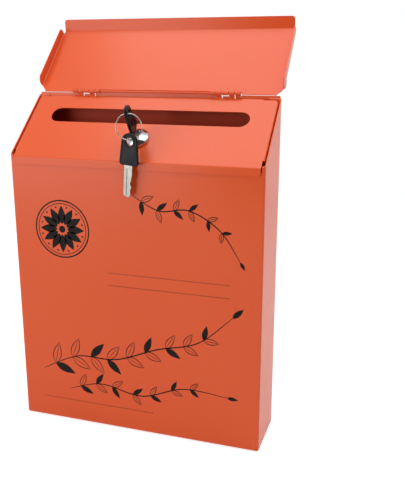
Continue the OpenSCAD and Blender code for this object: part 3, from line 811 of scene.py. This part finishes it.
def lay_floor(settings):
    """White ground, which glows a little where it is seen directly or in gloss."""
    floor = bpy.data.meshes.new("floor")
    half_side, grey = 1.2, 0.7
    work = bmesh.new()
    bmesh.ops.create_grid(work, x_segments=1, y_segments=1, size=half_side)
    work.to_mesh(floor)
    work.free()
    ground = bpy.data.objects.new("floor", floor)
    ground.location = (0.0, 0.0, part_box("bottom_pan")[0].z)
    bpy.context.scene.collection.objects.link(ground)
    finish, nodes, links, shader = new_finish("white_floor")
    shader.inputs["Base Color"].default_value = (grey, grey, grey, 1.0)
    shader.inputs["Roughness"].default_value = 0.9
    glow = nodes.new("ShaderNodeEmission")
    glow.inputs["Color"].default_value = (1.0, 1.0, 1.0, 1.0)
    both = nodes.new("ShaderNodeAddShader")
    choose = nodes.new("ShaderNodeMixShader")
    links.new(shader.outputs[0], both.inputs[0])
    links.new(glow.outputs[0], both.inputs[1])
    rays = nodes.new("ShaderNodeLightPath")
    strength = nodes.new("ShaderNodeMapRange")
    strength.inputs["To Min"].default_value = settings.floor_mirrored
    strength.inputs["To Max"].default_value = settings.floor_seen
    links.new(rays.outputs["Is Camera Ray"], strength.inputs["Value"])
    links.new(strength.outputs["Result"], glow.inputs["Strength"])
    links.new(seen_directly(nodes, links), choose.inputs["Fac"])
    links.new(shader.outputs[0], choose.inputs[1])
    links.new(both.outputs[0], choose.inputs[2])
    links.new(choose.outputs[0], nodes["Material Output"].inputs["Surface"])
    floor.materials.append(finish)


def light_room(settings):
    """A white room to look at, darker behind the camera where only gloss and fill see it."""
    world = bpy.data.worlds.new("studio")
    bpy.context.scene.world = world
    world.use_nodes = True
    nodes, links = world.node_tree.nodes, world.node_tree.links
    place = nodes.new("ShaderNodeTexCoord")
    split = nodes.new("ShaderNodeSeparateXYZ")
    reach = nodes.new("ShaderNodeMapRange")
    links.new(place.outputs["Generated"], split.inputs[0])
    links.new(split.outputs["Y"], reach.inputs["Value"])
    reach.inputs["From Min"].default_value = -1.0
    reach.inputs["From Max"].default_value = 0.3
    room = ramp(nodes, links, reach.outputs["Result"], settings.room_dark, 1.0, start=0.1, end=0.9)
    fill = nodes["Background"]
    fill.inputs["Strength"].default_value = settings.world
    links.new(room, fill.inputs["Color"])
    mirrored = nodes.new("ShaderNodeBackground")
    gloss = ramp(nodes, links, reach.outputs["Result"], settings.gloss_dark, settings.gloss_pale,
                 start=0.35, end=0.6)
    links.new(gloss, mirrored.inputs["Color"])
    white = nodes.new("ShaderNodeBackground")
    white.inputs["Color"].default_value = (1.0, 1.0, 1.0, 1.0)
    rays = nodes.new("ShaderNodeLightPath")
    indirect = nodes.new("ShaderNodeMixShader")
    links.new(seen_directly(nodes, links), indirect.inputs["Fac"])
    links.new(fill.outputs[0], indirect.inputs[1])
    links.new(mirrored.outputs[0], indirect.inputs[2])
    choose = nodes.new("ShaderNodeMixShader")
    links.new(rays.outputs["Is Camera Ray"], choose.inputs["Fac"])
    links.new(indirect.outputs[0], choose.inputs[1])
    links.new(white.outputs[0], choose.inputs[2])
    links.new(choose.outputs[0], nodes["World Output"].inputs["Surface"])


def set_camera(settings):
    """The camera where the photographer stood."""
    data = bpy.data.cameras.new("camera")
    data.lens = settings.lens
    data.shift_x, data.shift_y = settings.shift
    camera = bpy.data.objects.new("camera", data)
    camera.matrix_world = (
        Matrix.Translation(Vector(settings.camera_place))
        @ Matrix.Rotation(settings.yaw, 4, "Z")
        @ Matrix.Rotation(math.pi / 2 - settings.pitch, 4, "X")
    )
    bpy.context.scene.collection.objects.link(camera)
    bpy.context.scene.camera = camera


def set_stage():
    """Floor, room, lamps and camera."""
    bpy.context.scene.view_settings.view_transform = "Standard"
    settings = bpy.context.scene.mailbox_stage
    lay_floor(settings)
    light_room(settings)
    area_lamp("front_lamp", place=(-1.1, -1.4, 0.42), target=(0, 0, 0.14),
              width=1.5, height=1.5, power=settings.key_power)
    area_lamp("side_lamp", place=(1.3, 0.25, 0.4), target=(0, 0, 0.16),
              width=1.0, height=1.2, power=settings.side_power)
    area_lamp("top_lamp", place=(0.3, -0.1, 1.5), target=(0.3, 0, 0.25),
              width=1.8, height=1.3, power=settings.top_power)
    set_camera(settings)


class MAILBOX_OT_sheets(Operator):
    """Gives the folded sheets their powder coat"""

    bl_idname = "mailbox.sheets"
    bl_label = "Coat the sheets"

    def execute(self, context):
        paint_sheets()
        return {"FINISHED"}


class MAILBOX_OT_hinges(Operator):
    """Coats the hinge pins and the wire between them"""

    bl_idname = "mailbox.hinges"
    bl_label = "Finish the hinges"

    def execute(self, context):
        finish_hinges()
        return {"FINISHED"}


class MAILBOX_OT_lock(Operator):
    """Finishes the lock and the small parts behind it"""

    bl_idname = "mailbox.lock"
    bl_label = "Finish the lock"

    def execute(self, context):
        finish_lock()
        return {"FINISHED"}


class MAILBOX_OT_keys(Operator):
    """Models the moulded bows and finishes blades and ring"""

    bl_idname = "mailbox.keys"
    bl_label = "Make the keys"

    def execute(self, context):
        make_keys()
        return {"FINISHED"}


class MAILBOX_OT_ornament(Operator):
    """Prints the leaf and dot ornament on the front"""

    bl_idname = "mailbox.ornament"
    bl_label = "Print the front"

    def execute(self, context):
        print_front()
        return {"FINISHED"}


class MAILBOX_OT_stage(Operator):
    """Sets the floor, the lamps and the camera"""

    bl_idname = "mailbox.stage"
    bl_label = "Set the stage"

    def execute(self, context):
        set_stage()
        return {"FINISHED"}


OPERATORS = (
    MAILBOX_OT_sheets,
    MAILBOX_OT_hinges,
    MAILBOX_OT_lock,
    MAILBOX_OT_keys,
    MAILBOX_OT_ornament,
    MAILBOX_OT_stage,
)
SETTINGS = {
    "mailbox_paint": PaintSettings,
    "mailbox_metal": MetalSettings,
    "mailbox_keys": KeySettings,
    "mailbox_print": PrintSettings,
    "mailbox_stage": StageSettings,
}


class MAILBOX_PT_panel(Panel):
    """Buttons and sizes of the mailbox"""

    bl_idname = "MAILBOX_PT_panel"
    bl_label = "Wall mailbox"
    bl_space_type = "VIEW_3D"
    bl_region_type = "UI"
    bl_category = "Mailbox"

    def draw(self, context):
        for operator in OPERATORS:
            self.layout.operator(operator.bl_idname)
        for name, group in SETTINGS.items():
            settings = getattr(context.scene, name)
            box = self.layout.box()
            for key in group.__annotations__:
                box.prop(settings, key)


def register():
    """Makes the settings, the buttons and the panel known to Blender."""
    for item in (*SETTINGS.values(), *OPERATORS, MAILBOX_PT_panel):
        bpy.utils.register_class(item)
    for name, group in SETTINGS.items():
        setattr(bpy.types.Scene, name, PointerProperty(type=group))


def unregister():
    """Takes them out again, in the opposite order."""
    for name in SETTINGS:
        delattr(bpy.types.Scene, name)
    for item in reversed((*SETTINGS.values(), *OPERATORS, MAILBOX_PT_panel)):
        bpy.utils.unregister_class(item)


def main():
    register()
    bpy.ops.mailbox.sheets()
    bpy.ops.mailbox.hinges()
    bpy.ops.mailbox.lock()
    bpy.ops.mailbox.keys()
    bpy.ops.mailbox.ornament()
    bpy.ops.mailbox.stage()


if __name__ == "__main__":
    main()
